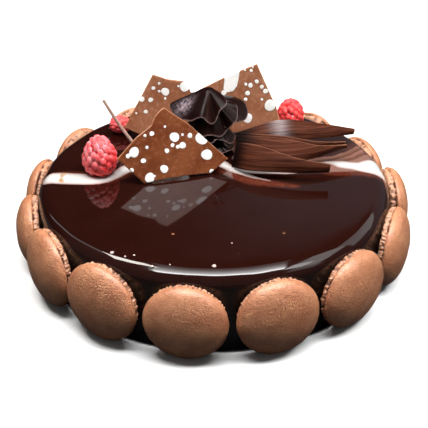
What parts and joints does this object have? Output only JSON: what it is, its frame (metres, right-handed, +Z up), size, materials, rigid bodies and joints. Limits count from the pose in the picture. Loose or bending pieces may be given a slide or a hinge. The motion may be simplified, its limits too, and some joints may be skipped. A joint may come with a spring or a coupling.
{
  "type": "triple chocolate cake",
  "caption": "Round mirror-glazed chocolate cake ringed with macaron shells, topped with spotted chocolate plaques, a dark ruffle, shavings and raspberries.",
  "frame": {"origin": "middle of the cake's flat underside", "axes": "+Z up; the cake is seen from the front along +Y, with +X to the right"},
  "size_m": [0.2359, 0.2359, 0.0934],
  "materials": {
    "chocolate_glaze": "mirror gloss dark chocolate glaze with a white marbled band",
    "macaron": "matte, finely pimpled chocolate macaron shell",
    "raspberry": "soft satin with pale frosted bloom",
    "milk_chocolate": "satin milk chocolate with white chocolate spots",
    "dark_chocolate": "glossy tempered dark chocolate",
    "chocolate_shaving": "satin dark chocolate with fine lengthwise grooves",
    "chocolate_stick": "satin pale milk chocolate"
  },
  "bodies": {
    "root": {"cake": "chocolate_glaze", "macaron_01": "macaron", "macaron_02": "macaron", "macaron_03": "macaron", "macaron_04": "macaron", "macaron_05": "macaron", "macaron_06": "macaron", "macaron_07": "macaron", "macaron_08": "macaron", "macaron_09": "macaron", "macaron_10": "macaron", "macaron_11": "macaron", "macaron_12": "macaron", "macaron_13": "macaron", "macaron_14": "macaron", "macaron_15": "macaron", "raspberry_01": "raspberry", "raspberry_02": "raspberry", "raspberry_03": "raspberry", "plaque_front": "milk_chocolate", "plaque_back_left": "milk_chocolate", "plaque_back_right": "milk_chocolate", "chocolate_stick": "chocolate_stick", "chocolate_ruffle": "dark_chocolate", "shaving_01": "chocolate_shaving", "shaving_02": "chocolate_shaving", "shaving_03": "chocolate_shaving", "shaving_04": "chocolate_shaving"}
  },
  "joints": []
}
